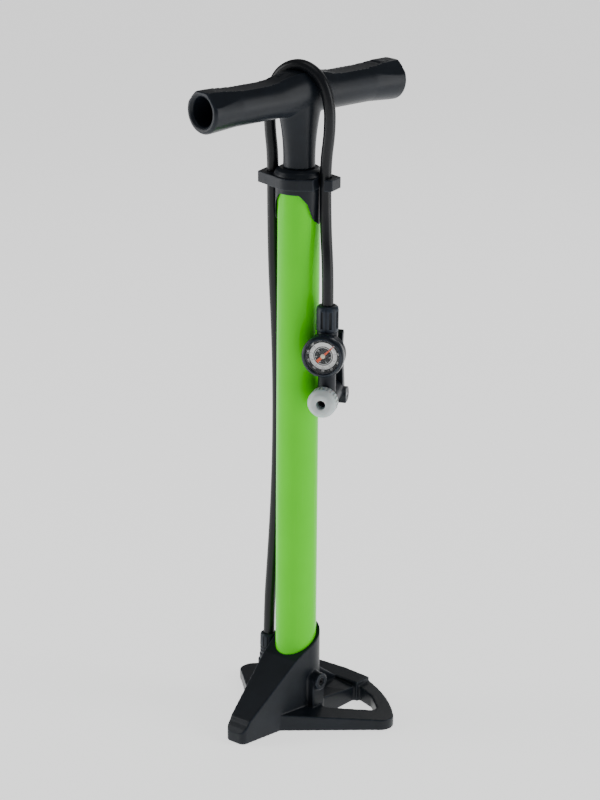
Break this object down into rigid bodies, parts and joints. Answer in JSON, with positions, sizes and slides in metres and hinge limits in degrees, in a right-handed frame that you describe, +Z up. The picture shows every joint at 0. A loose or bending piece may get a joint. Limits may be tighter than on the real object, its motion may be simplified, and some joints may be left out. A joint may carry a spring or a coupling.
{
  "type": "floor bicycle pump",
  "caption": "Upright bicycle floor pump: lime barrel on a three-armed foot base, T handle with stowed hose loop, and a hanging pump head with round gauge, clamp nut and thumb lever.",
  "frame": {"origin": "on the ground under the barrel's axis, the middle of the box round the standing pump", "axes": "+Z up along the barrel; -Y towards the toe of the base; +X towards its right foot loop, the side that the pump head hangs on"},
  "size_m": [0.181, 0.2258, 0.6219],
  "materials": {
    "black_plastic": "satin black moulding",
    "handle_plastic": "satin black moulding",
    "lime_paint": "gloss lime green enamel",
    "hose_rubber": "gloss black hose",
    "rubber": "matt black",
    "brass": "turned",
    "zinc_steel": "zinc plated",
    "black_steel": "black oxide",
    "spring_steel": "drawn wire",
    "chromed_steel": "polished",
    "grey_plastic": "moulded",
    "bezel_plastic": "gloss black ring",
    "clear_lens": "clear",
    "dial_face": "printed scale",
    "needle_orange": "matt orange",
    "pale_plastic": "pale grey moulding"
  },
  "bodies": {
    "root": {"base_body": "black_plastic", "base_screws": "zinc_steel", "barrel_lock_screw": "black_steel", "barrel": "lime_paint", "foot_plug": "grey_plastic", "foot_seal": "rubber", "valve_spring": "spring_steel", "outlet_barb": "brass", "hose_gland": "black_plastic", "top_cap": "black_plastic", "rod_bush": "grey_plastic", "rod_wiper": "rubber", "hose_lower": "hose_rubber", "hose_arch": "hose_rubber", "hose_upper": "hose_rubber", "head_body": "black_plastic", "head_boot": "black_plastic", "head_barb": "brass", "gauge_case": "zinc_steel", "gauge_bezel": "bezel_plastic", "gauge_lens": "clear_lens", "gauge_dial": "dial_face", "gauge_movement": "brass", "bourdon_tube": "brass", "nozzle_grommet": "rubber", "lever_pin": "zinc_steel"},
    "plunger": {"piston_head": "grey_plastic", "piston_cup": "rubber"},
    "handle": {"piston_washer": "zinc_steel", "piston_bolt": "zinc_steel", "piston_rod": "chromed_steel", "rod_bumper": "rubber", "handle": "handle_plastic", "handle_insert": "brass"},
    "poppet": {"valve_poppet": "brass"},
    "needle": {"gauge_needle": "needle_orange", "gauge_spindle": "brass"},
    "nut": {"nozzle_nut": "pale_plastic"},
    "push_pin": {"valve_plunger": "grey_plastic"},
    "lever": {"lever": "black_plastic"}
  },
  "joints": [
    {"name": "handle_lift", "type": "slide", "parent": "root", "child": "plunger", "axis": [0, 0, 1], "range_m": [0, 0.401], "deforming": ["hose_arch"]},
    {"name": "handle_turn", "type": "hinge", "parent": "plunger", "child": "handle", "pos_m": [0, 0, 0.065], "axis": [0, 0, 1], "range_deg": [-10, 45]},
    {"name": "lever_flip", "type": "hinge", "parent": "root", "child": "lever", "pos_m": [0.02139, 0.02596, 0.3151], "axis": [-0.8988, -0.4384, 0], "range_deg": [0, 90]},
    {"name": "grip_push", "type": "slide", "parent": "root", "child": "push_pin", "axis": [0.4384, -0.8988, 0], "range_m": [0, 0.002]},
    {"name": "nut_turn", "type": "hinge", "parent": "root", "child": "nut", "pos_m": [0.04068, -0.01358, 0.3206], "axis": [0.4384, -0.8988, 0], "continuous": true},
    {"name": "gauge_reading", "type": "hinge", "parent": "root", "child": "needle", "pos_m": [0.04111, -0.01448, 0.364], "axis": [-0.4384, 0.8988, 0], "range_deg": [0, 270], "stiffness_Nm_per_rad": 0.0002},
    {"name": "valve_open", "type": "slide", "parent": "root", "child": "poppet", "axis": [0, 0, -1], "range_m": [0, 0.0018], "stiffness_N_per_m": 60, "springref_m": -0.002, "deforming": ["valve_spring"]}
  ],
  "couplings": [
    {"joint": "grip_push", "follows": "lever_flip", "m_per_rad": 0.00127}
  ]
}
